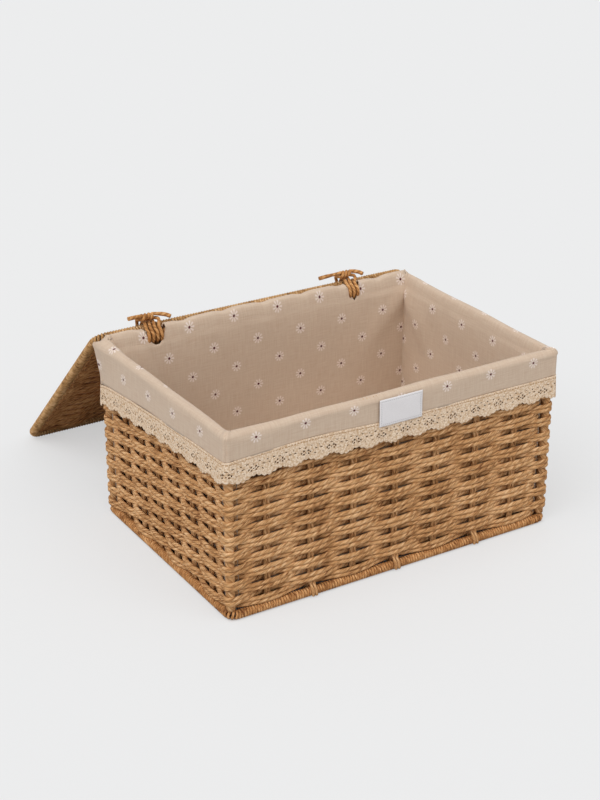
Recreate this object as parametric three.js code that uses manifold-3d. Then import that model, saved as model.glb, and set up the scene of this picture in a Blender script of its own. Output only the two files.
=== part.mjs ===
// Lidded storage basket woven from paper rope on a wire frame, with a cloth liner whose top folds
// over the rim as a cuff with a lace edge. The lid hangs open behind the basket on two rope ties.
// Millimetres. The origin is the middle of the base on the floor, +X to the right along the long
// side, +Y to the back and +Z up.

import * as THREE from 'three';
import { mergeVertices } from 'three/addons/utils/BufferGeometryUtils.js';
import Module from 'manifold-3d';

const wasm = await Module();
wasm.setup();

// Overall sizes of the basket body.
const basketWidth = 360;
const basketDepth = 248;
const basketHeight = 184;

// Clearance between pieces that touch on the real basket.
const gap = 0.35;

// Wire frame and the rope wound round its rings.
const wireRadius = 2;
const bindingRadius = 4.5;
const bottomRingInset = 1.5;
const bottomCornerRadius = 8;
const topCornerRadius = 5;
const postInset = 1.2;

// Stakes and the pairs of rope woven round them.
const stakeThickness = 3.6;
const stakeWidth = 6.8;
const bandThickness = 3.6;
const coursePitch = 7.4;
const courseSeam = 0.3;
const bottomCourseLift = 3;
const longStakeCount = 7;
const longStakePitch = 45.2;
const sideStakeCount = 6;

// Rope pairs that lash every second front stake to the bottom ring.
const lashingThickness = 3;
const lashingWidth = 6.4;

// Woven base.
const baseBandThickness = 3;
const baseBandPitch = 14.4;
const baseMiddleFlat = 6;

// Cloth liner, its cuff, the lace and the sewn label.
const clothThickness = 1.2;
const cuffDrop = 28;
const linerTaperDrop = 11;
const laceThickness = 0.8;
const laceDrop = 20;
const laceScallopRise = 2.5;
const frontScallops = 13;
const sideScallops = 9;
const labelWidth = 46;
const labelHeight = 26;
const labelThickness = 0.6;
const labelX = -1;
const labelTopDrop = 5;
const labelCornerRadius = 1;

// Lid.
const lidWidth = 362;
const lidDepth = 262;
const lidCornerRadius = 10;
const lidStakeRadius = 1.3;
const lidBandThickness = 3;
const lidCourses = 31;
const lidTieSlot = 17.8;
const lidSeat = 0.5;
const lidFloorGap = 0.3;
const wrapSeam = 1.2;

// Rope ties that carry the lid on the back of the rim.
const tieRopeRadius = 1.7;
const tieReach = 14;
const tieLoopPitch = 4.5;
const knotTwistRadius = 2.35;
const knotLength = 15.6;
const knotTurns = 1.5;
const knotClearance = 0.6;
const leftTieInset = 57;
const rightTieInset = 75.5;

// Share of the lid's whole turn that the ties make.
const tieShare = 0.2;

const halfWidth = basketWidth / 2;
const halfDepth = basketDepth / 2;

// The cloth rolls over the bound top ring, so the roll sets where the ring lies.
const rollInner = bindingRadius + gap;
const rollOuter = rollInner + clothThickness;
const topRing = {
  x: halfWidth - rollOuter,
  y: halfDepth - rollOuter,
  z: basketHeight - rollOuter,
  corner: topCornerRadius,
};
const bottomRing = {
  x: halfWidth - bindingRadius - bottomRingInset,
  y: halfDepth - bindingRadius,
  z: bindingRadius,
  corner: bottomCornerRadius,
};

// Inside the cuff comes the weave, which passes each stake on one side or the other.
const weaveOffset = stakeThickness / 2 + gap + bandThickness / 2;
const weaveReach = weaveOffset + bandThickness / 2;
const stakePlaneX = halfWidth - clothThickness - gap - weaveReach;
const stakePlaneY = halfDepth - clothThickness - gap - weaveReach;
const postX = stakePlaneX - postInset;
const postY = stakePlaneY - postInset;
const sideBay = 2 * stakePlaneY / (sideStakeCount + 1);
const longStakes = Array.from({ length: longStakeCount }, (_, i) => (
  (i - (longStakeCount - 1) / 2) * longStakePitch
));
const stakeTop = topRing.z - bindingRadius - gap;
const bandHalfHeight = (coursePitch - courseSeam) / 2;
const bottomRingTop = 2 * bindingRadius;
const firstCourse = bottomRingTop + bottomCourseLift + bandHalfHeight;
const courseCount = Math.floor((stakeTop - firstCourse + bandHalfHeight) / coursePitch);

// The base rows pass under and over the stakes, and the lowest rows lie on the floor.
const baseOffset = stakeThickness / 2 + gap + baseBandThickness / 2;
const basePlane = baseOffset + baseBandThickness / 2;
const linerFloor = basePlane + baseOffset + baseBandThickness / 2 + gap;

const surface = (color, roughness, metalness = 0) => (
  new THREE.MeshStandardMaterial({ color, roughness, metalness })
);
const ropeMaterial = () => surface(0xb08a5c, 0.85);
const stakeMaterial = () => surface(0xa57f52, 0.85);
const wireMaterial = () => surface(0x6e6a64, 0.4, 0.8);
const clothMaterial = () => surface(0xc2b09a, 0.9);
const laceMaterial = () => surface(0xe3d6bf, 0.9);
const labelMaterial = () => surface(0xefedea, 0.5);

const basket = new THREE.Group();

function addMesh(parent, name, geometry, material) {
  const mesh = new THREE.Mesh(geometry, material);
  mesh.name = name;
  parent.add(mesh);
  return mesh;
}

const vec = (x, y, z) => new THREE.Vector3(x, y, z);

// Signed volume of an indexed mesh, used to turn its faces outwards.
function signedVolume(positions, index) {
  let sum = 0;
  const at = (i) => vec(positions[3 * i], positions[3 * i + 1], positions[3 * i + 2]);
  for (let i = 0; i < index.length; i += 3) {
    sum += at(index[i]).dot(at(index[i + 1]).cross(at(index[i + 2])));
  }
  return sum / 6;
}

// Skin over rings with equal point counts. Open lofts get flat ends, which suits convex rings.
function loft(rings, closed) {
  const count = rings[0].length;
  const positions = rings.flat().flatMap((p) => [p.x, p.y, p.z]);
  const index = [];
  const spans = closed ? rings.length : rings.length - 1;
  for (let i = 0; i < spans; i++) {
    const a = i * count;
    const b = ((i + 1) % rings.length) * count;
    for (let j = 0; j < count; j++) {
      const k = (j + 1) % count;
      index.push(a + j, b + j, b + k, a + j, b + k, a + k);
    }
  }
  if (!closed) {
    const last = (rings.length - 1) * count;
    for (let j = 1; j < count - 1; j++) {
      index.push(0, j, j + 1);
      index.push(last, last + j + 1, last + j);
    }
  }
  if (signedVolume(positions, index) < 0) {
    for (let i = 0; i < index.length; i += 3) {
      [index[i + 1], index[i + 2]] = [index[i + 2], index[i + 1]];
    }
  }
  const geometry = new THREE.BufferGeometry();
  geometry.setAttribute('position', new THREE.Float32BufferAttribute(positions, 3));
  geometry.setIndex(index);
  geometry.computeVertexNormals();
  return geometry;
}

function toSolid(geometry) {
  const plain = geometry.clone();
  plain.deleteAttribute('normal');
  plain.deleteAttribute('uv');
  const merged = mergeVertices(plain, 1e-4);
  return new wasm.Manifold(new wasm.Mesh({
    numProp: 3,
    vertProperties: new Float32Array(merged.attributes.position.array),
    triVerts: new Uint32Array(merged.index.array),
  }));
}

function toGeometry(solid) {
  const mesh = solid.getMesh();
  const geometry = new THREE.BufferGeometry();
  geometry.setAttribute('position', new THREE.Float32BufferAttribute(mesh.vertProperties, 3));
  geometry.setIndex(Array.from(mesh.triVerts));
  geometry.computeVertexNormals();
  return geometry;
}

// Points of a rounded rectangle in plan, anticlockwise, with the outward direction at each. The
// straight runs can be divided, and every point carries how far along its run it lies.
function roundedPlan(halfX, halfY, corner, steps, runX = 1, runY = 1) {
  const plan = [];
  const corners = [
    [halfX - corner, -halfY + corner, -90, runY],
    [halfX - corner, halfY - corner, 0, runX],
    [-halfX + corner, halfY - corner, 90, runY],
    [-halfX + corner, -halfY + corner, 180, runX],
  ];
  corners.forEach(([x, y, start, run], i) => {
    for (let s = 0; s <= steps; s++) {
      const angle = THREE.MathUtils.degToRad(start + 90 * s / steps);
      const out = vec(Math.cos(angle), Math.sin(angle), 0);
      plan.push({ point: vec(x, y, 0).addScaledVector(out, corner), out, along: 0 });
    }
    const from = plan[plan.length - 1];
    const [nextX, nextY, nextStart] = corners[(i + 1) % 4];
    const angle = THREE.MathUtils.degToRad(nextStart);
    const to = vec(nextX, nextY, 0).addScaledVector(vec(Math.cos(angle), Math.sin(angle), 0), corner);
    for (let s = 1; s < run; s++) {
      plan.push({ point: from.point.clone().lerp(to, s / run), out: from.out, along: s });
    }
  });
  return plan;
}

// A bar of round section bent to a rounded rectangle. The radius is that of the section's corners.
function ringBar(ring, radius, sides, steps) {
  const plan = roundedPlan(ring.x, ring.y, ring.corner, steps);
  return loft(plan.map(({ point, out }) => {
    const section = [];
    for (let s = 0; s < sides.count; s++) {
      const angle = 2 * Math.PI * (s + sides.shift) / sides.count;
      const p = point.clone().addScaledVector(out, radius * Math.cos(angle));
      section.push(p.setZ(ring.z + radius * Math.sin(angle)));
    }
    return section;
  }), true);
}

// Straight round rod between two points.
function rod(radius, sides, from, to) {
  const length = from.distanceTo(to);
  const geometry = new THREE.CylinderGeometry(radius, radius, length, sides);
  const turn = new THREE.Quaternion().setFromUnitVectors(vec(0, 1, 0), to.clone().sub(from).normalize());
  geometry.applyQuaternion(turn);
  const middle = from.clone().lerp(to, 0.5);
  return geometry.translate(middle.x, middle.y, middle.z);
}

// Wire frame: two rings joined by a post in each corner, welded into one piece.
const wireSides = { count: 6, shift: 0 };
const cornerSteps = 3;
const corners = [[-1, -1], [1, -1], [1, 1], [-1, 1]];

function frameSolid(radius, ringRadius = radius) {
  let solid = toSolid(ringBar(bottomRing, ringRadius, wireSides, cornerSteps));
  solid = solid.add(toSolid(ringBar(topRing, ringRadius, wireSides, cornerSteps)));
  for (const [sx, sy] of corners) {
    const foot = vec(sx * postX, sy * postY, bottomRing.z);
    const head = vec(sx * postX, sy * postY, topRing.z);
    solid = solid.add(toSolid(rod(radius, 8, foot, head)));
  }
  return solid;
}

addMesh(basket, 'wire_frame', toGeometry(frameSolid(wireRadius)), wireMaterial());

// Rope wound round both rings. Each winding is hollow for its wire and open where the posts enter.
const flatSides = { count: 8, shift: 0.5 };
const cornerSides = { count: 8, shift: 0 };
const wireBore = frameSolid(wireRadius + gap);
const flatRadius = bindingRadius / Math.cos(Math.PI / 8);
const bottomBinding = toSolid(ringBar(bottomRing, flatRadius, flatSides, cornerSteps)).subtract(wireBore);
const topBinding = toSolid(ringBar(topRing, bindingRadius, cornerSides, cornerSteps)).subtract(wireBore);
addMesh(basket, 'bottom_ring_binding', toGeometry(bottomBinding), ropeMaterial());
addMesh(basket, 'top_ring_binding', toGeometry(topBinding), ropeMaterial());

// Each stake is a pair of ropes side by side, so its section is wider than thick. Stakes of the long
// sides run down the front, under the base and up the back in one length. They bend inwards above
// the bottom ring and pass inside it.
const bendStart = bottomRingTop + bottomCourseLift - gap;
const bendReach = (stakePlaneY - (bottomRing.y - bindingRadius - gap - stakeThickness / 2)) + 3;

function stakeSection(point, across, through, width, thickness) {
  return Array.from({ length: 8 }, (_, s) => {
    const angle = 2 * Math.PI * (s + 0.5) / 8;
    const p = point.clone().addScaledVector(across, width / 2 * Math.cos(angle));
    return p.addScaledVector(through, thickness / 2 * Math.sin(angle));
  });
}

function ropePair(path, width, thickness) {
  return loft(path.map((point, i) => {
    const before = path[Math.max(i - 1, 0)];
    const after = path[Math.min(i + 1, path.length - 1)];
    const arriving = point.clone().sub(before).normalize();
    const leaving = after.clone().sub(point).normalize();
    const along = arriving.add(leaving).normalize();
    const across = vec(1, 0, 0);
    const inward = along.clone().cross(across);
    return stakeSection(point, across, inward, width, thickness);
  }), false);
}

function stakeRun(x) {
  const side = [
    [stakePlaneY, stakeTop],
    [stakePlaneY, bendStart],
    [stakePlaneY - bendReach * 0.43, bendStart - 3.6],
    [stakePlaneY - bendReach * 0.75, basePlane + 1.4],
    [stakePlaneY - bendReach * 1.2, basePlane],
  ];
  const front = side.map(([y, z]) => vec(x, -y, z));
  const back = side.reverse().map(([y, z]) => vec(x, y, z));
  return ropePair([...front, ...back], stakeWidth, stakeThickness);
}

longStakes.forEach((x, i) => addMesh(basket, `long_stake_${i + 1}`, stakeRun(x), stakeMaterial()));

// Stakes of the short sides stand on the bottom ring.
for (const [side, sx] of [['left', -1], ['right', 1]]) {
  for (let i = 1; i <= sideStakeCount; i++) {
    const y = -stakePlaneY + i * sideBay;
    const ends = [flatRadius + bindingRadius + gap, stakeTop].map((z) => (
      stakeSection(vec(sx * stakePlaneX, y, z), vec(0, 1, 0), vec(1, 0, 0), stakeWidth, stakeThickness)
    ));
    addMesh(basket, `${side}_stake_${i}`, loft(ends, false), stakeMaterial());
  }
}

// Lashings: where the lowest course passes a front stake inside, a rope pair comes down outside the
// stake, over the bottom ring, and is tucked in under it.
const lashingFace = stakePlaneY + stakeThickness / 2 + gap + lashingThickness / 2;
const lashingTop = firstCourse + coursePitch - bandHalfHeight - gap;
const lashingReach = flatRadius + gap + lashingThickness / 2;
const lashingPath = [[lashingFace, lashingTop], [lashingFace, bottomRingTop + 5]];
for (const degrees of [68, 44, 20, -4, -28]) {
  const angle = THREE.MathUtils.degToRad(degrees);
  lashingPath.push([
    bottomRing.y + lashingReach * Math.cos(angle),
    bottomRing.z + lashingReach * Math.sin(angle),
  ]);
}
longStakes.filter((x, i) => i % 2 === 1).forEach((x, i) => {
  const path = lashingPath.map(([y, z]) => vec(x, -y, z));
  addMesh(basket, `ring_lashing_${i + 1}`, ropePair(path, lashingWidth, lashingThickness), stakeMaterial());
});

// Stations of one round of weaving, from the last stake of the back by the back left corner, along
// the left side, the front and the right side, to the stake before it. A weaver passes every other
// station outside and the rest inside.
const cornerPass = wireRadius + gap + bandThickness / 2 + 0.15;

function cornerStation(sx, sy, order) {
  return (outside) => {
    const angles = outside ? order : [order[1]];
    return angles.map((degrees) => {
      const angle = THREE.MathUtils.degToRad(degrees);
      const out = vec(Math.cos(angle), Math.sin(angle), 0);
      const post = vec(sx * postX, sy * postY, 0);
      return { point: post.addScaledVector(out, outside ? cornerPass : -cornerPass), out };
    });
  };
}

function stakeStation(x, y, outX, outY) {
  return (outside) => {
    const out = vec(outX, outY, 0);
    return [{ point: vec(x, y, 0).addScaledVector(out, outside ? weaveOffset : -weaveOffset), out }];
  };
}

const sideStakes = Array.from({ length: sideStakeCount }, (_, i) => -stakePlaneY + (i + 1) * sideBay);
const stations = [
  stakeStation(longStakes[0], stakePlaneY, 0, 1),
  cornerStation(-1, 1, [90, 135, 180]),
  ...sideStakes.map((y) => stakeStation(-stakePlaneX, -y, -1, 0)),
  cornerStation(-1, -1, [180, 225, 270]),
  ...longStakes.map((x) => stakeStation(x, -stakePlaneY, 0, -1)),
  cornerStation(1, -1, [270, 315, 360]),
  ...sideStakes.map((y) => stakeStation(stakePlaneX, y, 1, 0)),
  cornerStation(1, 1, [0, 45, 90]),
  ...[...longStakes].reverse().slice(0, -1).map((x) => stakeStation(x, stakePlaneY, 0, 1)),
];

// Two weavers chase each other round the basket. Each is one unbroken pair of ropes that stays level
// for a round and steps up two courses in the last whole bay of the back.
function weaver(first, outsideParity) {
  const rounds = Math.floor((courseCount - first + 1) / 2);
  const rings = [];
  for (let round = 0; round < rounds; round++) {
    const z = firstCourse + (first + 2 * round) * coursePitch;
    stations.forEach((station, i) => {
      for (const { point, out } of station(i % 2 === outsideParity)) {
        const half = out.clone().multiplyScalar(bandThickness / 2);
        rings.push([[1, 1], [-1, 1], [-1, -1], [1, -1]].map(([a, b]) => (
          point.clone().addScaledVector(half, a).setZ(z + b * bandHalfHeight)
        )));
      }
    });
  }
  return loft(rings, false);
}

addMesh(basket, 'weaver_a', weaver(0, 1), ropeMaterial());
addMesh(basket, 'weaver_b', weaver(1, 0), ropeMaterial());

// A band woven to and fro in a flat panel: it crosses every stake over or under and turns round at
// the panel's sides, where it is mitred. Rows run along X, follow each other along Y and lie about
// z = 0. The middle row can be given a flat underneath the middle stake, and the last row can stop
// short of the corners.
function flatWeave({ rows, pitch, firstRow, reach, stakes, offset, thickness, middleFlat, lastInset = 0 }) {
  const middle = (rows - 1) / 2 + (stakes.length - 1) / 2 + 1;
  const half = (pitch - courseSeam) / 2;
  const rings = [];
  const section = (x, y, z, wx, wy) => [[1, 1], [1, -1], [-1, -1], [-1, 1]].map(([a, b]) => (
    vec(x + a * wx * half, y + a * wy * half, z + b * thickness / 2)
  ));
  for (let row = 0; row < rows; row++) {
    const forward = row % 2 === 0 ? 1 : -1;
    const y = firstRow + row * pitch;
    const order = forward > 0 ? stakes : [...stakes].reverse();
    const start = reach - half - (row === rows - 1 ? lastInset : 0);
    const end = reach - half - (row >= rows - 2 ? lastInset : 0);
    rings.push(section(-forward * start, y, 0, row === 0 ? 0 : 1, forward));
    for (const x of order) {
      const over = (stakes.indexOf(x) + row + middle) % 2 === 0 ? 1 : -1;
      const flats = middleFlat && x === 0 ? [-middleFlat / 2, middleFlat / 2] : [0];
      for (const shift of flats) {
        rings.push(section(x + forward * shift, y, over * offset, 0, forward));
      }
    }
    rings.push(section(forward * end, y, 0, row === rows - 1 ? 0 : -1, forward));
  }
  return loft(rings, false);
}

// Base: rows between the bottom ring's short sides, woven round the stakes where they cross it.
const baseReachY = stakePlaneY - bendReach * 0.75 - gap;
const baseRows = 2 * Math.floor((baseReachY / baseBandPitch - 0.5)) + 1;
const baseWeave = flatWeave({
  rows: baseRows,
  pitch: baseBandPitch,
  firstRow: -(baseRows - 1) / 2 * baseBandPitch,
  reach: bottomRing.x - flatRadius - gap,
  stakes: longStakes,
  offset: baseOffset,
  thickness: baseBandThickness,
  middleFlat: baseMiddleFlat,
});
addMesh(basket, 'base_weave', baseWeave.translate(0, 0, basePlane), ropeMaterial());

// Liner: a cloth bag whose top rolls over the bound rim and hangs outside as a cuff. The rings give
// the offset from the top ring's plan and the height, up the outside of the bag, over the rim and
// down, then back over the outside of the roll and down to the floor of the bag.
const wallOffset = stakePlaneX - weaveReach - gap - topRing.x;
const taperBottom = topRing.z - linerTaperDrop;
const cuffBottom = basketHeight - cuffDrop;
const rollArc = (radius, from, to, steps) => Array.from({ length: steps + 1 }, (_, i) => {
  const angle = THREE.MathUtils.degToRad(from + (to - from) * i / steps);
  return [radius * Math.cos(angle), topRing.z + radius * Math.sin(angle)];
});
const linerProfile = [
  [wallOffset, linerFloor],
  [wallOffset, taperBottom],
  ...rollArc(rollInner, 180, 0, 4),
  [rollInner, cuffBottom],
  [rollOuter, cuffBottom],
  ...rollArc(rollOuter, 0, 180, 4),
  [wallOffset - clothThickness, taperBottom],
  [wallOffset - clothThickness, linerFloor + clothThickness],
];

function planRing(offset, z) {
  const corner = Math.max(topRing.corner + offset, 0.6);
  const plan = roundedPlan(topRing.x + offset, topRing.y + offset, corner, 4);
  return plan.map(({ point }) => point.setZ(z));
}

let liner = toSolid(loft(linerProfile.map(([offset, z]) => planRing(offset, z)), false));

// Ties: where the loops run, side by side, and how far the cloth is cut away for them.
const loopRadius = bindingRadius + gap + tieRopeRadius;
const loopReach = loopRadius + tieRopeRadius;
const ties = {
  left: {
    x: -halfWidth + leftTieInset,
    loops: [-1.5, -0.5, 0.5, 1.5].map((step) => step * tieLoopPitch),
    leftEnd: 17,
    rightEnd: 26,
    leftRise: 0,
    rightRise: -4,
  },
  right: {
    x: halfWidth - rightTieInset,
    loops: [-1, 0, 1].map((step) => step * tieLoopPitch),
    leftEnd: 34,
    rightEnd: 17,
    leftRise: -1,
    rightRise: -1.5,
  },
};
for (const tie of Object.values(ties)) {
  const reach = Math.max(...tie.loops) + tieRopeRadius + gap + 0.4;
  const notchBottom = topRing.z - loopReach - 2 * gap;
  const notchHeight = basketHeight - notchBottom + 2;
  const notch = new THREE.BoxGeometry(2 * reach, 6 * rollOuter, notchHeight);
  notch.translate(tie.x, topRing.y, notchBottom + notchHeight / 2);
  liner = liner.subtract(toSolid(notch));
}
addMesh(basket, 'liner', toGeometry(liner), clothMaterial());

// Lace sewn under the cuff, with a scalloped lower edge.
const laceTop = cuffBottom - gap;
const lacePlan = roundedPlan(topRing.x + rollInner, topRing.y + rollInner, topRing.corner + rollInner,
  4, 2 * frontScallops, 2 * sideScallops);
const laceRings = lacePlan.map(({ point, out, along }) => {
  const low = laceTop - laceDrop + (along % 2 === 0 ? laceScallopRise : 0);
  const outer = point.clone().addScaledVector(out, laceThickness);
  return [[point, laceTop], [outer, laceTop], [outer, low], [point, low]].map(([p, z]) => p.clone().setZ(z));
});
addMesh(basket, 'lace_trim', loft(laceRings, true), laceMaterial());

// Label sewn on the front of the cuff.
const labelShape = new THREE.Shape();
const lw = labelWidth / 2;
const lh = labelHeight / 2;
labelShape.moveTo(-lw + labelCornerRadius, -lh);
labelShape.lineTo(lw - labelCornerRadius, -lh);
labelShape.lineTo(lw, -lh + labelCornerRadius);
labelShape.lineTo(lw, lh - labelCornerRadius);
labelShape.lineTo(lw - labelCornerRadius, lh);
labelShape.lineTo(-lw + labelCornerRadius, lh);
labelShape.lineTo(-lw, lh - labelCornerRadius);
labelShape.lineTo(-lw, -lh + labelCornerRadius);
const label = new THREE.ExtrudeGeometry(labelShape, { depth: labelThickness, bevelEnabled: false });
label.rotateX(Math.PI / 2);
label.translate(labelX, -halfDepth - gap, basketHeight - labelTopDrop - lh);
addMesh(basket, 'label', label, labelMaterial());

// The lid's edge hangs on the ties behind the rim. Closed, the lid lies flat just over the cuff, and
// that sets how far round the rim the ties have swung. Open, its far edge lies on the floor.
const lidHalfThickness = lidStakeRadius + gap + lidBandThickness;
const lidRun = lidDepth - 2 * bindingRadius;
const closedHeight = basketHeight + lidSeat + Math.max(lidHalfThickness, bindingRadius);
const tieClosed = Math.asin((closedHeight - topRing.z) / tieReach);
let tieOpen = 0;
let lidOpen = 0;
for (let i = 0; i < 50; i++) {
  const edgeHeight = topRing.z + tieReach * Math.sin(tieOpen);
  lidOpen = -Math.asin((edgeHeight - bindingRadius - lidFloorGap) / lidRun);
  tieOpen = tieClosed - tieShare * (Math.PI - lidOpen);
}
const degrees = (angle) => THREE.MathUtils.radToDeg(angle).toFixed(4);
console.log('tie swings', degrees(tieOpen), 'to', degrees(tieClosed), 'lid lies at', degrees(lidOpen));

// Tie: one rope, wound round the rim and the lid's edge, with its two ends twisted round each other
// above the lid's edge. In the tie's own frame the rim is at y = 0 and the lid's edge at tieReach.
const loopSteps = 24;
const knotHeight = loopReach + knotClearance + knotTwistRadius + tieRopeRadius;

function loopPoint(share) {
  const straight = tieReach;
  const arc = Math.PI * loopRadius;
  let s = share * 2 * (straight + arc);
  if (s < arc) {
    const angle = Math.PI / 2 - s / loopRadius;
    return [tieReach + loopRadius * Math.cos(angle), loopRadius * Math.sin(angle)];
  }
  s -= arc;
  if (s < straight) {
    return [tieReach - s, -loopRadius];
  }
  s -= straight;
  if (s < arc) {
    const angle = -Math.PI / 2 - s / loopRadius;
    return [loopRadius * Math.cos(angle), loopRadius * Math.sin(angle)];
  }
  return [s - arc, loopRadius];
}

// One of the two rope ends in the knot, from its right side to its left.
function twist(phase) {
  const steps = 14;
  return Array.from({ length: steps + 1 }, (_, i) => {
    const t = i / steps;
    const x = knotLength * (0.5 - t);
    const turned = 2 * Math.PI * knotTurns * t + phase;
    const aside = knotTwistRadius * Math.cos(turned);
    return vec(x, tieReach + aside, knotHeight + knotTwistRadius * Math.sin(turned));
  });
}

function tiePath(tie) {
  const half = knotLength / 2;
  const low = knotHeight - knotTwistRadius;
  const high = knotHeight + knotTwistRadius;
  const first = tie.loops[0];
  const last = tie.loops[tie.loops.length - 1];
  const aroundBoth = 2 * Math.PI * loopRadius;
  const topShare = (tieReach + aroundBoth) / (2 * tieReach + aroundBoth);
  const points = [
    vec(tie.rightEnd, tieReach, high + tie.rightRise),
    vec((tie.rightEnd + half) * 0.62, tieReach, high + tie.rightRise * 0.45),
    ...twist(Math.PI / 2),
    vec(Math.min(first, -half) - 2.2, tieReach + 2.4, low - 0.6),
    vec(Math.min(first, -half) - 0.9, tieReach + 5.6, low - 3.4),
  ];
  tie.loops.forEach((x, i) => {
    const next = tie.loops[i + 1];
    for (let s = 0; s < loopSteps; s++) {
      const share = s / loopSteps;
      const [y, z] = loopPoint(share);
      if (i === 0 && share < 0.12) {
        continue;
      }
      const onTop = Math.max(0, (share - topShare) / (1 - topShare));
      if (next === undefined && onTop > 0) {
        continue;
      }
      points.push(vec(next === undefined ? x : x + (next - x) * onTop, y, z));
    }
  });
  const outside = Math.max(last, half) + 4.2;
  points.push(vec(last + (outside - last) * 0.35, tieReach * 0.3, loopRadius + 0.5));
  points.push(vec(last + (outside - last) * 0.92, tieReach * 0.6, loopRadius + 2.2));
  points.push(vec(outside, tieReach * 0.86, low - 0.7));
  points.push(...twist(-Math.PI / 2));
  points.push(vec(-(tie.leftEnd + half) * 0.62, tieReach, high + tie.leftRise * 0.5));
  points.push(vec(-tie.leftEnd, tieReach, high + tie.leftRise));
  return points;
}

// Least gap of a round rope to itself, between points that lie well apart along it.
function leastGap(points, radius) {
  const lengths = [0];
  for (let i = 1; i < points.length; i++) {
    lengths.push(lengths[i - 1] + points[i].distanceTo(points[i - 1]));
  }
  let least = Infinity;
  for (let i = 0; i < points.length; i++) {
    for (let j = i + 1; j < points.length; j++) {
      if (lengths[j] - lengths[i] > 5 * radius) {
        least = Math.min(least, points[i].distanceTo(points[j]) - 2 * radius);
      }
    }
  }
  return least;
}

const ropeSection = new THREE.Shape(Array.from({ length: 6 }, (_, i) => (
  new THREE.Vector2(tieRopeRadius * Math.cos(Math.PI * i / 3), tieRopeRadius * Math.sin(Math.PI * i / 3))
)));

for (const [side, tie] of Object.entries(ties)) {
  const path = tiePath(tie);
  const curve = new THREE.CatmullRomCurve3(path, false, 'centripetal');
  curve.arcLengthDivisions = 40 * path.length;
  const steps = Math.round(path.length * 1.05);
  const rope = new THREE.ExtrudeGeometry(ropeSection, { steps, bevelEnabled: false, extrudePath: curve });
  console.log(`${side} tie: ${tie.loops.length} loops, rope length`, curve.getLength().toFixed(1),
    'least gap to itself', leastGap(curve.getSpacedPoints(20 * path.length), tieRopeRadius).toFixed(2));
  const group = new THREE.Group();
  group.position.set(tie.x, topRing.y, topRing.z);
  group.rotation.x = tieOpen;
  addMesh(group, `${side}_tie`, rope, ropeMaterial());
  basket.add(group);
}

// Lid, in its own frame: the hinge edge's rod lies on X, the lid runs along +Y and is centred on z = 0.
const lid = new THREE.Group();
lid.position.set(0, topRing.y + tieReach * Math.cos(tieOpen), topRing.z + tieReach * Math.sin(tieOpen));
lid.rotation.x = lidOpen;
basket.add(lid);

const lidRing = { x: lidWidth / 2 - bindingRadius, y: lidRun / 2, z: 0, corner: lidCornerRadius };
const lidWire = ringBar(lidRing, wireRadius, wireSides, cornerSteps).translate(0, lidRun / 2, 0);
addMesh(lid, 'lid_wire', lidWire, wireMaterial());

// The rope wound round the lid's wire leaves a seam where its two ends meet, at the far edge.
const seam = new THREE.BoxGeometry(wrapSeam, 2 * bindingRadius, 4 * bindingRadius);
seam.translate(0, lidRun + bindingRadius + wireRadius / 2, 0);
const lidBinding = toSolid(ringBar(lidRing, bindingRadius, cornerSides, cornerSteps))
  .subtract(toSolid(ringBar(lidRing, wireRadius + gap, wireSides, cornerSteps)))
  .translate([0, lidRun / 2, 0])
  .subtract(toSolid(seam));
addMesh(lid, 'lid_binding', toGeometry(lidBinding), ropeMaterial());

// Stakes of the lid. Those beside a tie end at the first row, to leave room for its knot and ends.
const lidFar = lidRun - bindingRadius - gap;
const nearTie = (x) => Object.values(ties).some((tie) => (
  x > tie.x - tie.leftEnd - 3 && x < tie.x + tie.rightEnd + 3
));
longStakes.forEach((x, i) => {
  const near = nearTie(x) ? lidTieSlot : bindingRadius + gap;
  const stake = rod(lidStakeRadius, 8, vec(x, near, 0), vec(x, lidFar, 0));
  addMesh(lid, `lid_stake_${i + 1}`, stake, stakeMaterial());
});

const lidPitch = (lidFar - lidTieSlot) / lidCourses;
addMesh(lid, 'lid_weave', flatWeave({
  rows: lidCourses,
  pitch: lidPitch,
  firstRow: lidTieSlot + lidPitch / 2,
  reach: lidRing.x - bindingRadius - gap,
  stakes: longStakes,
  offset: lidStakeRadius + gap + lidBandThickness / 2,
  thickness: lidBandThickness,
  lastInset: lidCornerRadius - bindingRadius,
}), ropeMaterial());

export default basket;
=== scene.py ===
import math
import bpy
import numpy as np
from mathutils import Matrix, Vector


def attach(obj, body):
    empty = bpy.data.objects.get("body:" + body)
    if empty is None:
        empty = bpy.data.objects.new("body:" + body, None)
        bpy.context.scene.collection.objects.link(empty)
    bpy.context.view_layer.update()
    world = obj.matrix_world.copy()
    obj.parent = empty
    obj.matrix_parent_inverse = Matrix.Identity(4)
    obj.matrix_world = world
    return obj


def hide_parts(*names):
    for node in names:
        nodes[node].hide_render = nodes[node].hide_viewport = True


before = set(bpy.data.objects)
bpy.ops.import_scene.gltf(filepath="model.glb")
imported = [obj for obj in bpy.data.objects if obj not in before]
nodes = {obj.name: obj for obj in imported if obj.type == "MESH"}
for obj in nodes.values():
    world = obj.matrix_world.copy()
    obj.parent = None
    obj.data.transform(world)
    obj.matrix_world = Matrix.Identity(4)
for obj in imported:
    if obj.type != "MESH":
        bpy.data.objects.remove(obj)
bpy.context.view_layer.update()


# Wire frame: lacquered steel wire, 4 mm thick, bent into a ring for the top and one for the bottom and
# welded to a post in each corner. Rope covers nearly all of it.

def linear(hex_colour):
    """An sRGB hex colour as the linear colour that a shader takes."""
    parts = [int(hex_colour[i:i + 2], 16) / 255 for i in (1, 3, 5)]
    return [c / 12.92 if c <= 0.04045 else ((c + 0.055) / 1.055) ** 2.4 for c in parts] + [1.0]


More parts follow.
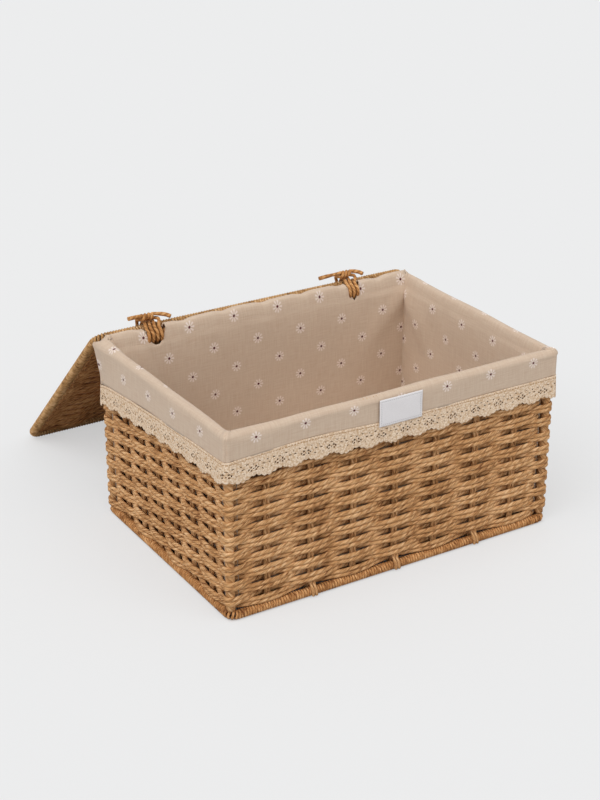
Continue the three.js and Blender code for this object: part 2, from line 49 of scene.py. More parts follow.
def plug(node, sockets):
    """Sets sockets, given by place or name, to a value, an output, or a node's first output."""
    for key, value in sockets.items():
        if isinstance(value, bpy.types.Node):
            value = value.outputs[0]
        if isinstance(value, bpy.types.NodeSocket):
            node.id_data.links.new(value, node.inputs[key])
        else:
            node.inputs[key].default_value = value


def add(material, kind, *inputs, **named):
    """A node of that kind. Its settings are named in small letters. Its sockets come in order, or under
    their own names, which start with a capital."""
    node = material.node_tree.nodes.new("ShaderNode" + kind)
    for name, value in named.items():
        if name[0].islower():
            setattr(node, name, value)
    plug(node, dict(enumerate(inputs)))
    plug(node, {name.replace("_", " "): value for name, value in named.items() if name[0].isupper()})
    return node


def new_material(name, **surface):
    """An empty material and its surface shader, with those sockets of the shader set."""
    material = bpy.data.materials.new(name)
    material.use_nodes = True
    shader = material.node_tree.nodes["Principled BSDF"]
    plug(shader, {key.replace("_", " "): value for key, value in surface.items()})
    return material, shader


# Wire lacquer: thin dark brown paint on drawn wire, with paler rubbed spots, about 6 mm apart, and the
# same spots as a slight relief.
wire_lacquer, shader = new_material("lacquered_wire", Roughness=0.45)
place = add(wire_lacquer, "TexCoord").outputs["Object"]
spots = add(wire_lacquer, "TexNoise", Vector=place, Scale=180.0, Detail=4.0)
tone = add(wire_lacquer, "ValToRGB", spots)
for stop, position, colour in zip(tone.color_ramp.elements, (0.35, 0.65), ("#35281E", "#4F3C2C")):
    stop.position, stop.color = position, linear(colour)
worn = add(wire_lacquer, "Bump", Height=spots, Strength=0.25, Distance=0.0001)
plug(shader, {"Base Color": tone, "Normal": worn})

for name in ("wire_frame", "lid_wire"):
    nodes[name].data.materials.clear()
    nodes[name].data.materials.append(wire_lacquer)


# Bottom ring winding: twisted paper rope, 2.6 mm thick, wound turn beside turn round the bottom
# wire, so that the edge on the floor is a row of slanting turns.

def rope(paths, radii, sides=7):
    """Points, faces and face-corner UVs of tubes along the paths, with UVs in metres along the rope and
    in turns round it. A path's radius is one number, or one or two (level, upright) for each point."""
    points, faces, uvs = [], [], []
    for n, (path, radius) in enumerate(zip(paths, radii)):
        path = np.asarray(path, float)
        oval = np.ndim(radius) == 2
        if not oval:
            radius = np.broadcast_to(np.reshape(radius, (-1, 1)), (len(path), 2))
        along = np.gradient(path, axis=0)
        along /= np.linalg.norm(along, axis=1)[:, None]
        # Each rope's streaks start at another place of the pattern.
        pattern_shift = 0.137 * n
        lengths = np.concatenate([[0], np.cumsum(np.linalg.norm(np.diff(path, axis=0), axis=1))])
        lengths += pattern_shift
        side = np.cross(along[0], [0.0, 0.0, 1.0])
        if np.linalg.norm(side) < 0.1:
            side = np.cross(along[0], [0.0, 1.0, 0.0])
        start = len(points)
        for i, (p, t) in enumerate(zip(path, along)):
            if oval:
                side = np.cross(t, [0.0, 0.0, 1.0])
            side = side - t * side.dot(t)
            side /= np.linalg.norm(side)
            up = np.cross(side, t)
            for k in range(sides):
                a = 2 * math.pi * k / sides
                points.append(p + radius[i][0] * math.cos(a) * side + radius[i][1] * math.sin(a) * up)
            if i:
                low, high = start + (i - 1) * sides, start + i * sides
                for k in range(sides):
                    m = (k + 1) % sides
                    faces.append((low + k, low + m, high + m, high + k))
                    uvs += [(lengths[i - 1], k / sides), (lengths[i - 1], (k + 1) / sides),
                            (lengths[i], (k + 1) / sides), (lengths[i], k / sides)]
        for ring, order, at in ((start, 1, lengths[0]), (start + (len(path) - 1) * sides, -1, lengths[-1])):
            faces.append(tuple(ring + k for k in range(sides))[::-order])
            uvs += [(at, 0.5)] * sides
    return points, faces, uvs


def piece(name, points, faces, uvs, material, body, slot, *stands_for):
    """The finished piece: its mesh, smooth, with UVs and material, riding on its body."""
    mesh = bpy.data.meshes.new(name)
    mesh.from_pydata([tuple(p) for p in points], [], faces)
    layer = mesh.uv_layers.new(name="along")
    layer.data.foreach_set("uv", np.asarray(uvs, np.float32).ravel())
    mesh.polygons.foreach_set("use_smooth", [len(f) == 4 for f in faces])
    mesh.materials.append(material)
    mesh.update()
    made = bpy.data.objects.new(name, mesh)
    bpy.context.collection.objects.link(made)
    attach(made, body)
    if stands_for:
        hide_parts(*stands_for)
    return made


def ring_line(half_x, half_y, corner, z, step):
    """Points and outward directions round a rounded rectangle, about step apart."""
    line = []
    centres = [(half_x - corner, -half_y + corner, -90), (half_x - corner, half_y - corner, 0),
               (-half_x + corner, half_y - corner, 90), (-half_x + corner, -half_y + corner, 180)]
    for n, (cx, cy, start) in enumerate(centres):
        arc = max(2, round(corner * math.pi / 2 / step))
        for s in range(arc + 1):
            a = math.radians(start + 90 * s / arc)
            out = np.array([math.cos(a), math.sin(a), 0])
            line.append((np.array([cx, cy, z]) + corner * out, out))
        nx, ny, nstart = centres[(n + 1) % 4]
        a = math.radians(nstart)
        end = np.array([nx, ny, z]) + corner * np.array([math.cos(a), math.sin(a), 0])
        first, out = line[-1]
        runs = max(1, round(np.linalg.norm(end - first) / step))
        line += [(first + (end - first) * s / runs, out) for s in range(1, runs)]
    return line


def wound(line, core, strand, pitch):
    """Centreline of a rope, wound round a closed level line in turns that lie pitch apart, at a reach
    of core, the radius of what it is wound on, and strand, its own."""
    steps = 10
    points = np.array([p for p, out in line] + [line[0][0]])
    outs = np.array([out for p, out in line] + [line[0][1]])
    lengths = np.concatenate([[0], np.cumsum(np.linalg.norm(np.diff(points, axis=0), axis=1))])
    turns = round(lengths[-1] / pitch)
    share = np.linspace(0, lengths[-1], turns * steps + 1)[:-1]
    at = np.stack([np.interp(share, lengths, points[:, k]) for k in range(3)], 1)
    out = np.stack([np.interp(share, lengths, outs[:, k]) for k in range(3)], 1)
    out /= np.linalg.norm(out, axis=1)[:, None]
    angle = np.arange(len(share)) * 2 * math.pi / steps
    return at + (core + strand) * (np.cos(angle)[:, None] * out + np.sin(angle)[:, None] * [0, 0, 1])


# Twisted paper rope: brown kraft paper strips twisted into plies and the plies laid into a rope. The
# eye sees short slanting streaks of light and shade from the plies and the creases in the paper. Part
# of the plies' light and shade is painted into the colour: painted highlight on each ply's crest and
# painted shade in the grooves between the plies.
def paper_rope(name, lay, plies, creases, pale_and_lit_crest, mid, dark_and_shaded_groove):
    """Rope of that many plies, with one turn of its lay in lay metres and that many creases round it."""
    material, shader = new_material(name, Roughness=0.8, Specular_IOR_Level=0.3)
    uv = add(material, "SeparateXYZ", add(material, "UVMap", uv_map="along"))
    # Turns round the rope, counted along its lay, so that a ply keeps its number.
    spun = add(material, "Math", uv.outputs["X"], -1.0 / lay, uv.outputs["Y"], operation="MULTIPLY_ADD")
    ply = add(material, "Math", spun, float(plies), operation="MULTIPLY")
    wave = add(material, "Math", ply, 0.5, operation="PINGPONG")
    ridge = add(material, "Math", wave, 0.5, operation="POWER")
    # Creases about 12 mm long, read along the lay and along the rope.
    across = add(material, "Math", spun, float(creases), operation="MULTIPLY")
    along = add(material, "Math", uv.outputs["X"], 85.0, operation="MULTIPLY")
    crease_at = add(material, "CombineXYZ", across, along)
    crease = add(material, "TexNoise", Vector=crease_at, Scale=1.0, Detail=2.5)
    # Batches of paper differ a little in tone from place to place, over about 26 mm.
    place = add(material, "TexCoord").outputs["Object"]
    batch = add(material, "TexNoise", Vector=place, Scale=38.0, Detail=2.0)
    # The colour: the paper's own tone from creases and batches, plus painted highlight on the plies' crests
    # and painted shade in the grooves between them.
    crease_tone_and_ply_shade = add(material, "Math", ridge, 0.22, crease, operation="MULTIPLY_ADD")
    mixed = add(material, "Math", batch, 0.45, crease_tone_and_ply_shade, operation="MULTIPLY_ADD")
    ramp = add(material, "ValToRGB", add(material, "Math", mixed, 0.55, operation="MULTIPLY"))
    stops = ramp.color_ramp.elements
    stops.new(0.45)
    # The lightest stop carries the painted crest highlight and pale paper, the darkest the painted groove
    # shade and dark paper.
    for stop, position, colour in zip(stops, (0.31, 0.45, 0.58), (dark_and_shaded_groove, mid, pale_and_lit_crest)):
        stop.position, stop.color = position, linear(colour)
    relief = add(material, "Math", ridge, 0.5, crease, operation="MULTIPLY_ADD")
    bump = add(material, "Bump", Height=relief, Strength=0.9, Distance=0.0009)
    plug(shader, {"Base Color": ramp, "Normal": bump})
    return material


weaving_rope = paper_rope("twisted_paper_rope", lay=0.027, plies=3, creases=11,
                          pale_and_lit_crest="#EBC090", mid="#C5925E", dark_and_shaded_groove="#774520")
winding_rope = paper_rope("wound_paper_rope", lay=0.014, plies=2, creases=5,
                          pale_and_lit_crest="#E6B47E", mid="#C08852", dark_and_shaded_groove="#774520")

# The ring's line at the middle of its wire: half its length and depth, its height, and its corners.
bottom_x, bottom_y, bottom_z, bottom_corner = 0.1740, 0.1195, 0.0045, 0.0055
ring_step = 0.003
turns = wound(ring_line(bottom_x, bottom_y, bottom_corner, bottom_z, ring_step),
              core=0.0020, strand=0.0012, pitch=0.0027)
piece("bottom_ring_winding", *rope([turns], [0.00132], 6), winding_rope, "basket", "rope",
      "bottom_ring_binding")


# Top ring winding: the same paper rope, 3.2 mm thick, round the top wire, under the cloth. It shows
# only where the cloth is cut away for the ties.
top_x, top_y, top_z, top_corner = 0.17395, 0.11795, 0.17795, 0.005
turns = wound(ring_line(top_x, top_y, top_corner, top_z, ring_step), core=0.0021, strand=0.0008, pitch=0.0034)
piece("top_ring_winding", *rope([turns], [0.0016], 6), winding_rope, "basket", "rope", "top_ring_binding")


# Stakes: doubled rope, 3.4 mm each, side by side. Those of the long walls run down the front, under
# the base and up the back; those of the short walls stand on the bottom ring.
long_pitch, side_pitch = 0.0452, 0.0333429
stake_x = [k * long_pitch for k in range(-3, 4)]
side_y = [(k - 2.5) * side_pitch for k in range(6)]
plane_x, plane_y = 0.1727, 0.1167
stake_top, stake_middle, stake_under = 0.1728, 0.09, 0.0052
stake_radius, stake_offsets = 0.0017, (-0.00168, 0.00168)


def smooth_path(knots, step):
    """Points about step apart on a smooth curve through the knots."""
    knots = np.asarray(knots, float)
    ends = np.vstack([2 * knots[0] - knots[1], knots, 2 * knots[-1] - knots[-2]])
    out = []
    for a, b, c, d in zip(ends, ends[1:], ends[2:], ends[3:]):
        for t in np.linspace(0, 1, max(1, math.ceil(np.linalg.norm(c - b) / step)), endpoint=False):
            out.append(0.5 * ((2 * b) + (c - a) * t + (2 * a - 5 * b + 4 * c - d) * t * t
                              + (3 * b - a - 3 * c + d) * t ** 3))
    return np.array(out + [knots[-1]])


# The way of a long stake down the front wall and under the base to its middle, in depth and height.
down = [(-plane_y, stake_top), (-plane_y, stake_middle), (-plane_y, 0.0122), (-0.1135, 0.0084),
        (-0.1115, 0.0066), (-0.1075, stake_under), (-0.06, stake_under)]
long_way = down + [(0, stake_under)] + [(-y, z) for y, z in reversed(down)]
for n, x in enumerate(stake_x):
    strands = [smooth_path([(x + offset, y, z) for y, z in long_way], 0.004) for offset in stake_offsets]
    piece(f"long_stake_rope_{n + 1}", *rope(strands, [stake_radius] * 2), weaving_rope, "basket", "rope",
          f"long_stake_{n + 1}")

for side, sign in (("left", -1), ("right", 1)):
    for n, y in enumerate(side_y):
        strands = [smooth_path([(sign * plane_x, y + offset, z)
                                for z in (0.0096, stake_middle, stake_top)], 0.004)
                   for offset in stake_offsets]
        piece(f"{side}_stake_rope_{n + 1}", *rope(strands, [stake_radius] * 2), weaving_rope, "basket",
              "rope", f"{side}_stake_{n + 1}")


# Corner ropes: one thick rope that stands outside each corner post, which the weaving passes like a
# stake, so that it shows as a narrow upright band between the rows of both walls.
corner_x, corner_y, corner_radius = 0.1728, 0.1168, 0.0042
for n, (sx, sy) in enumerate([(-1, -1), (1, -1), (1, 1), (-1, 1)]):
    line = smooth_path([(sx * corner_x, sy * corner_y, z) for z in (0.0098, stake_middle, stake_top)], 0.003)
    piece(f"corner_rope_{n + 1}", *rope([line], [corner_radius], 12), weaving_rope, "basket", "rope")


# Ring lashings: three front stakes are tied down to the bottom ring by a doubled rope that comes out
# over the lowest rows and passes over the ring's outside.
lashing_reach = 0.0057
for n, x in enumerate((-2 * long_pitch, 0.0, 2 * long_pitch)):
    strands = []
    for offset in (-0.00165, 0.00165):
        knots = [(x + offset, y, z) for y, z in ((-0.1188, 0.0190), (-0.1200, 0.0150), (-0.1206, 0.0125))]
        for a in map(math.radians, (62, 35, 8, -22)):
            knots.append((x + offset, -bottom_y - lashing_reach * math.cos(a),
                          bottom_z + lashing_reach * math.sin(a)))
        strands.append(smooth_path(knots, 0.0015))
    piece(f"ring_lashing_rope_{n + 1}", *rope(strands, [0.0015] * 2, 8), weaving_rope, "basket", "rope",
          f"ring_lashing_{n + 1}")


# Walls: two long doubled ropes chase each other round the basket and pass the stakes in turn outside
# and inside, so that the walls are rows of slim bulges with dark gaps beside each covered stake.
course_pitch, first_course, courses = 0.0074, 0.0129, 22
weave_out = 0.00395
corner_reach, corner_inset = 0.0050, 0.0058
# The courses above this height lie hidden under the cloth, which presses them in to this share. The
# lowest course is squeezed on the bottom ring to this share of its height.
hidden_above, hidden_press, lowest_squeeze = 0.150, 0.72, 0.86


def stations():
    """Where the weaving passes a stake or post: place, outward direction, and whether it is a corner."""
    places = [((stake_x[0], plane_y), (0, 1), False), ((-corner_x, corner_y), (-1, 1), True)]
    places += [((-plane_x, -y), (-1, 0), False) for y in side_y] + [((-corner_x, -corner_y), (-1, -1), True)]
    places += [((x, -plane_y), (0, -1), False) for x in stake_x] + [((corner_x, -corner_y), (1, -1), True)]
    places += [((plane_x, y), (1, 0), False) for y in side_y] + [((corner_x, corner_y), (1, 1), True)]
    places += [((x, plane_y), (0, 1), False) for x in reversed(stake_x[1:])]
    return places


# A rope's level and upright radius and its height from the middle of its pair, for the lower and the
# upper rope: outside a stake, inside it, outside a corner, inside it, and in the middle of a bay.
over_stake = [(0.0019, 0.00245, -0.0024), (0.0019, 0.00245, 0.0024)]
behind_stake = [(0.0018, 0.0033, -0.0037), (0.0018, 0.0029, 0.0027)]
over_corner = [(0.0011, 0.00245, -0.0023), (0.0011, 0.00245, 0.0023)]
behind_corner = [(0.0018, 0.0031, -0.0033), (0.0018, 0.0028, 0.0026)]
mid_bay = [(0.00185, 0.00190, -0.00184), (0.00185, 0.00190, 0.00184)]


def weaver_paths(first, parity):
    """Centrelines and level and upright radii of one weaver's two ropes, from the bottom to the top."""
    # What each rope passes: place, direction, height, form, and how far it keeps that direction.
    keys = [[], []]
    for turn in range((courses - first + 1) // 2):
        course = first_course + (first + 2 * turn) * course_pitch
        squeeze = lowest_squeeze if first + turn == 0 else 1.0
        press = hidden_press if course > hidden_above else 1.0
        for n, ((x, y), out, corner) in enumerate(stations()):
            outside = n % 2 == parity
            out = np.array(out, float) / np.linalg.norm(out)
            ahead = np.array([-out[1], out[0]])
            sway, lift = rng.normal(0, 0.0002), rng.normal(0, 0.00022)
            for strand in range(2):
                shape = (over_corner if corner else over_stake) if outside else (
                    behind_corner if corner else behind_stake)
                level, upright, rise = np.array(shape[strand]) * [1, squeeze, squeeze]
                z = course + lift + rng.normal(0, 0.00012)
                grow = 1 + rng.normal(0, 0.03)
                form = np.array([level * grow, upright * grow, rise])
                at = np.array([x, y])
                if corner and outside:
                    for angle in (-45, 0, 45):
                        a = math.radians(angle)
                        d = math.cos(a) * out + math.sin(a) * ahead
                        t = math.cos(a) * ahead - math.sin(a) * out
                        keys[strand].append((at + press * corner_reach * d, t, z, form, 1.0))
                elif corner:
                    keys[strand].append((at - press * corner_inset * out, ahead, z, form, 0.7))
                else:
                    reach = (weave_out if outside else -weave_out) * press + sway
                    keys[strand].append((at + reach * out, ahead, z, form, 1.3 if outside else 0.6))
    paths, radii = [], []
    for strand, slim in zip(keys, np.array(mid_bay)):
        line, thick = [], []
        for (p, tp, zp, fp, gp), (q, tq, zq, fq, gq) in zip(strand, strand[1:]):
            chord = np.linalg.norm(q - p)
            count = max(3, round(chord / 0.0040))
            for t in np.arange(count) / count:
                h = (2 * t ** 3 - 3 * t ** 2 + 1, t ** 3 - 2 * t ** 2 + t, -2 * t ** 3 + 3 * t ** 2,
                     t ** 3 - t ** 2)
                flat = h[0] * p + h[1] * chord * tp * gp + h[2] * q + h[3] * chord * tq * gq
                if chord > 0.01:
                    form = slim + ((fp if t < 0.5 else fq) - slim) * abs(2 * t - 1) ** 0.85
                else:
                    form = h[0] * fp + h[2] * fq
                line.append((flat[0], flat[1], h[0] * zp + h[2] * zq + form[2]))
                thick.append(form[:2])
        line.append((*strand[-1][0], strand[-1][2] + strand[-1][3][2]))
        thick.append(strand[-1][3][:2])
        paths.append(np.array(line))
        radii.append(np.array(thick))
    return paths, radii


rng = np.random.default_rng(7)
for name, first, parity in (("weaver_a", 0, 1), ("weaver_b", 1, 0)):
    piece(f"{name}_ropes", *rope(*weaver_paths(first, parity), 8), weaving_rope, "basket", "rope", name)


# Base: doubled rope woven to and fro over and under the stakes, close beside each other, lying on
# the floor where it passes under them.

def panel_paths(rows, pitch, first_row, reach, offset, strands):
    """Centrelines of ropes woven to and fro side by side in a flat panel that lies about z = 0."""
    paths = []
    apart = pitch / strands
    widest = (strands - 1) / 2 * apart
    for s in range(strands):
        shift = s * apart - widest
        knots = []
        for row in range(rows):
            forward = 1 if row % 2 == 0 else -1
            y = first_row + row * pitch + forward * shift
            start_x = -forward * (reach - widest + forward * shift)
            end_x = forward * (reach - widest - forward * shift)
            # The turn at a row's end is a small round corner at either side of it.
            after = min(0.0024, (pitch / 2 - forward * shift) * 0.9)
            before = min(0.0024, (pitch / 2 + forward * shift) * 0.9)
            if row:
                knots.append((start_x, y - before, 0))
            knots.append((start_x + forward * before * 0.3, y - (before * 0.3 if row else 0), 0))
            knots.append((start_x + forward * before, y, 0))
            for n, x in list(enumerate(stake_x))[::forward]:
                over = 1 if (n + row) % 2 else -1
                knots.append((x, y + rng.normal(0, 0.00025), over * offset))
            knots.append((end_x - forward * after, y, 0))
            knots.append((end_x - forward * after * 0.3, y + (after * 0.3 if row < rows - 1 else 0), 0))
            if row < rows - 1:
                knots.append((end_x, y + after, 0))
        paths.append(np.array(knots))
    return paths


def woven_line(knots, step):
    """A rope line through crossings: level at each of them and evenly sloping between."""
    line = []
    for p, q in zip(knots, knots[1:]):
        count = max(2, math.ceil(np.linalg.norm(q - p) / step))
        for t in np.arange(count) / count:
            ease = t * t * (3 - 2 * t)
            line.append((*(p[:2] + (q[:2] - p[:2]) * t), p[2] + (q[2] - p[2]) * ease))
    return np.array(line + [tuple(knots[-1])])


base_lines = [woven_line(knots, 0.006) + [0, 0, stake_under]
              for knots in panel_paths(rows=15, pitch=0.0144, first_row=-0.1008, reach=0.1675, offset=0.0034,
                                       strands=4)]
piece("base_ropes", *rope(base_lines, [0.00175] * 4, 6), weaving_rope, "basket", "rope", "base_weave")


# Liner: a bag of printed cotton and linen cloth, sewn at its corners, that lies inside the walls,
# rolls over the bound top ring and hangs outside as a cuff. It is cut away round the two ties.
cloth_thick = 0.0010
floor_z = 0.0116
# How far the wall of the bag lies inside the top ring's line, the height from which it bows out to the
# roll, and the roll's radius.
wall_in, bow_z, roll = 0.0084, 0.1440, 0.0055
seam_radius = 0.0018
left_tie_x, right_tie_x = -0.123, 0.1045
# Each opening: its middle, half its width, the height of its lowest point, and how round it is.
openings = [(left_tie_x + 0.0010, 0.0122, 0.1702, 2.2), (right_tie_x, 0.0090, 0.1695, 1.3)]
opening_top, cut_edge_in = 0.1890, 0.0050

# The cloth's section from the floor of the bag, up its wall, over the roll and down the cuff: offset
# from the top ring's line, height, and the radius of the corners there. The cuff's heights come later.
section = [(-wall_in, z, seam_radius) for z in np.linspace(floor_z, bow_z, 23)]
section += [(-wall_in * math.cos(a) ** 0.7, bow_z + (top_z + roll - bow_z) * math.sin(a),
             seam_radius + 0.0010 * a) for a in np.radians(np.linspace(0, 90, 17)[1:])]
apex = len(section) - 1
roll_start = apex - 8
section += [(roll * math.cos(a), top_z + roll * math.sin(a), 0.0034 + 0.0012 * math.cos(a))
            for a in np.radians(np.linspace(90, 0, 9)[1:])]
roll_end = len(section)
section += [(roll, 0.0, 0.0046)] * 10
section = np.array(section)
bends = np.linalg.norm(np.diff(section[:, :2], axis=0), axis=1)
section_length = np.concatenate([[0], np.cumsum(bends)])
corner_turns = [8, 20, 32, 41, 45, 49, 58, 70, 82]

# The walls are numbered 0 front, 1 right, 2 back and 3 left: which way each one's columns run along it,
# and its outward direction.
headings = [1, 1, -1, -1]
outs = [(0, -1), (1, 0), (0, 1), (-1, 0)]

# The hem's height along each wall: the cuff hangs lower towards the back left corner.
hems = [([-0.180, -0.144, -0.100, -0.075, -0.023, 0.024, 0.180],
         [0.1565, 0.1588, 0.1600, 0.1595, 0.1565, 0.1560, 0.1560]),
        ([-0.124, 0.124], [0.1560, 0.1560]),
        ([-0.180, -0.100, 0.0, 0.180], [0.1370, 0.1450, 0.1520, 0.1560]),
        ([-0.124, -0.054, 0.0, 0.058, 0.100, 0.124], [0.1565, 0.1535, 0.1500, 0.1455, 0.1412, 0.1370])]


def hem_height(wall, along):
    """Height of the cuff's hem at that distance along the wall."""
    return float(np.interp(along, *hems[wall]))


def plan_columns():
    """Columns of the cloth round the basket: wall number, distance along that wall from its middle, and
    None, or a corner's turn in degrees from the wall before it."""
    columns = []
    for wall in range(4):
        half = (top_x, top_y)[wall % 2] - top_corner
        marks = list(np.linspace(-half + 0.0105, half - 0.0105, 60 if wall % 2 == 0 else 40))
        # They stand closer beside a corner, where the cuff has its stitched seam.
        for edge in (-half, half):
            marks += [edge - math.copysign(inset, edge)
                      for inset in (0.0, 0.0025, 0.0050, 0.0066, 0.0078, 0.0090)]
        marks.sort()
        if wall == 2:
            for middle, reach, low, roundness in openings:
                marks = [m for m in marks if abs(m - middle) > reach + 0.0015]
                marks += [middle - reach * math.cos(math.pi * k / 14) for k in range(15)]
        if wall > 1:
            marks.sort(reverse=True)
        columns += [(wall, m, None) for m in marks]
        columns += [(wall, None, degrees) for degrees in corner_turns]
    return columns


def slack(wall, along, height, outside):
    """How far the cloth stands off its line: soft swells, and slanting folds that hang from the corners."""
    half = (top_x, top_y)[wall % 2]
    swell = 0.0006 * math.sin(31 * along + 2.1 * wall) * math.sin(42 * height + 1.3 * wall)
    swell += 0.0004 * math.sin(67 * along + 1.7 * wall + 30 * height)
    away = half - abs(along)
    if outside:
        # A stitched seam runs down the cuff beside each corner.
        seam = math.exp(-((away - 0.0078) / 0.0009) ** 2) if height < 0.174 else 0.0
        return swell * 0.8 - 0.0006 * seam
    # Inside it hangs slack into the bag only, so that no rope behind it comes through.
    fall = 0.172 - height
    fold = math.exp(-((away - 0.6 * fall - 0.010) / 0.007) ** 2) * math.exp(-((fall - 0.018) / 0.022) ** 2)
    second = math.exp(-((away - 0.35 * fall - 0.030) / 0.009) ** 2) * math.exp(-((fall - 0.030) / 0.030) ** 2)
    hung = 0.0006 * math.sin(52 * along + 0.8 * wall) * math.exp(-((fall - 0.02) / 0.05) ** 2)
    return -abs(swell) - 0.0030 * fold - 0.0018 * second - abs(hung)


# Along the back the cloth is bunched up between the rim and the lid, and fuller outwards, and it dips
# under the lid's stakes, which lie across it when the lid is closed.
back_rise, back_fuller, stake_dip, dip_reach = 0.0050, 0.0019, 0.45, 0.0065


def back_lift(column, row):
    """How much higher the cloth is there: all along the back wall, and fading round its corners."""
    wall, along, degrees = column
    if degrees is None:
        share = 1.0 if wall == 2 else 0.0
        if wall in (1, 3):
            share = (0.7 if wall == 3 else 0.4) * math.exp(-((top_y - top_corner - along) / 0.022) ** 2)
    else:
        turn = degrees / 90 if wall == 1 else 1 - degrees / 90
        share = 0.4 + 0.6 * turn * turn * (3 - 2 * turn) if wall in (1, 2) else 0.0
        share = max(share, 0.7) if wall == 2 else share
    if row <= apex:
        rise = min(1.0, max(0.0, (row - roll_start + 6) / 12))
    elif row < roll_end:
        rise = max(0.0, math.cos(math.pi / 2 * (row - apex) / (roll_end - 1 - apex))) ** 3
    else:
        rise = 0.0
    if wall == 2 and degrees is None:
        rise *= 1 - stake_dip * sum(math.exp(-((along - x) / dip_reach) ** 2) for x in stake_x)
    return back_rise * share * rise


# Beside the back left corner the cuff's top stands out, so that it hides the lid's corner.
flare, flare_from, flare_to = 0.0038, 0.148, 0.1875


def corner_flare(column, row, height):
    """How far the cloth stands out there: most between the two heights, and nothing past them."""
    wall, along, degrees = column
    if row < apex - 3:
        return 0.0
    if degrees is None:
        near = math.exp(-((abs(along) - (top_x, top_y)[wall % 2] + top_corner) / 0.018) ** 2)
        near *= (wall == 2 and along < 0) or (wall == 3 and along > 0)
    else:
        near = float(wall == 2)
    low, high = max(0.0, (height - flare_from) / 0.030), max(0.0, (flare_to - height) / 0.004)
    return flare * near * min(1.0, (row - apex + 4) / 4) * min(1.0, low) * min(1.0, high)


# The line of the lid's bound edge over the closed basket, its radius with some room, and the sine and
# cosine of the lid's slope where it leans over the rim.
edge_x, edge_y, edge_corner, edge_z, edge_room = 0.1785, 0.1264, 0.010, top_z + 0.0112, 0.0055
lean_sin, lean_cos = 0.7046, 0.7096


def under_lid(x, y, z):
    """The height at that place with room left for the lid's bound edge, closed or leant over the rim."""
    def room(gap):
        return math.sqrt(max(0.0, edge_room ** 2 - gap ** 2)) + cloth_thick
    corner_x = max(abs(x) - edge_x + edge_corner, 0.0)
    corner_y = max(abs(y) - edge_y + edge_corner, 0.0)
    closed = abs(math.hypot(corner_x, corner_y) - edge_corner)
    if closed < edge_room:
        z = min(z, edge_z - room(closed))
    leant = abs(abs(x) - edge_x)
    if leant < edge_room and y > 0:
        z = min(z, top_z + (edge_z - top_z - room(leant) - lean_sin * (y - top_y)) / lean_cos)
    return z


def cuff_height(wall, along, row):
    """The height of a row of the cuff, from the ring's middle down to the hem."""
    return top_z + (hem_height(wall, along) - top_z) * (row - roll_end + 1) / (len(section) - roll_end)


def wall_point(column, row):
    """The place of the cloth at a row of its section on a wall."""
    wall, along, degrees = column
    offset, z, bend = section[row]
    line = (top_x, top_y)[wall % 2]
    # The last stretch before a corner is drawn out or in to meet the corner's bend.
    base = line - top_corner
    along_here = along + math.copysign((line + offset - bend - base) * (abs(along) / base) ** 12, along)
    if row >= roll_end:
        z = cuff_height(wall, along, row)
    if row > 0:
        on_roll = roll_start <= row < roll_end
        offset += slack(wall, along, z, offset > 0) * (0.35 if on_roll else 1.0)
    z += back_lift(column, row)
    # The roll is a little fuller and lower from place to place, as folded cloth is.
    if roll_start <= row < roll_end:
        z += 0.0004 * math.sin(23 * along + wall) + 0.0003 * math.sin(59 * along + 2 * wall) - 0.0007
    if wall == 2:
        if row >= apex:
            offset += back_fuller * (1 - abs(along / 0.1685) ** 14)
        for middle, reach, low, roundness in openings:
            if abs(along - middle) <= reach + 1e-6:
                cut = low + (opening_top - low) * min(1.0, abs(along - middle) / reach) ** roundness
                if z > cut:
                    z = cut
                    # The bag's cut edge lies inside the bound ring.
                    if row <= apex:
                        offset = min(offset, -cut_edge_in)
    across = (top_y, top_x)[wall % 2] + offset + corner_flare(column, row, z)
    if wall % 2 == 0:
        return along_here, across * outs[wall][1], z
    return across * outs[wall][0], along_here, z


def corner_point(column, row):
    """The place of the cloth at a row of its section round a corner, with a groove along its seam."""
    wall, along, degrees = column
    offset, z, bend = section[row]
    hx, hy = top_x + offset, top_y + offset
    if row >= roll_end:
        z = cuff_height(wall, headings[wall] * (hx, hy)[wall % 2], row)
    z += back_lift(column, row)
    stand_out = corner_flare(column, row, z)
    groove = math.exp(-((degrees - 45) / 4.0) ** 2)
    reach = bend - (0.0007 if offset > 0 else -0.0004) * groove
    if roll_start <= row < roll_end:
        lump = math.exp(-((degrees - 62) / 16.0) ** 2)
        z += 0.0004 * lump * min(1.0, max(0.0, (z - top_z) / roll))
        reach += 0.0008 * lump
    sx, sy = [(1, -1), (1, 1), (-1, 1), (-1, -1)][wall]
    a = math.radians([-90, 0, 90, 180][wall] + degrees)
    return (sx * (hx + stand_out - bend) + reach * math.cos(a),
            sy * (hy + stand_out - bend) + reach * math.sin(a), z)


def cloth_point(column, row):
    """The place of the cloth at a column and a row of its section."""
    x, y, z = (corner_point if column[1] is None else wall_point)(column, row)
    return (x, y, under_lid(x, y, z)) if roll_start < row < roll_end else (x, y, z)


def cloth_u(column, row, home):
    """Distance along the home wall's cloth from its middle, carried on round its corners to the seams."""
    wall, along, degrees = column
    offset, height, bend = section[row]
    if degrees is None:
        return cloth_point(column, row)[home % 2]
    half = (top_x, top_y)[home % 2] + offset - bend
    if wall == home:
        return headings[home] * (half + bend * math.radians(degrees))
    return -headings[home] * (half + bend * math.radians(90 - degrees))


# Where a daisy of the print lies on each wall: along it, and up it on the bag's inside or on the cuff,
# and how far the print of the cuff drops along the wall.
print_marks = [(0.0, 0.1755, True, 0.0), (0.0340, 0.1400, False, 0.0), (-0.0115, 0.1535, False, 0.0),
               (0.0190, 0.1650, True, 0.055)]


def length_at(height, outside):
    """The length along the cloth's section to that height, on the cuff or on the bag's inside."""
    if outside:
        return section_length[roll_end - 1] + top_z - height
    return height - floor_z


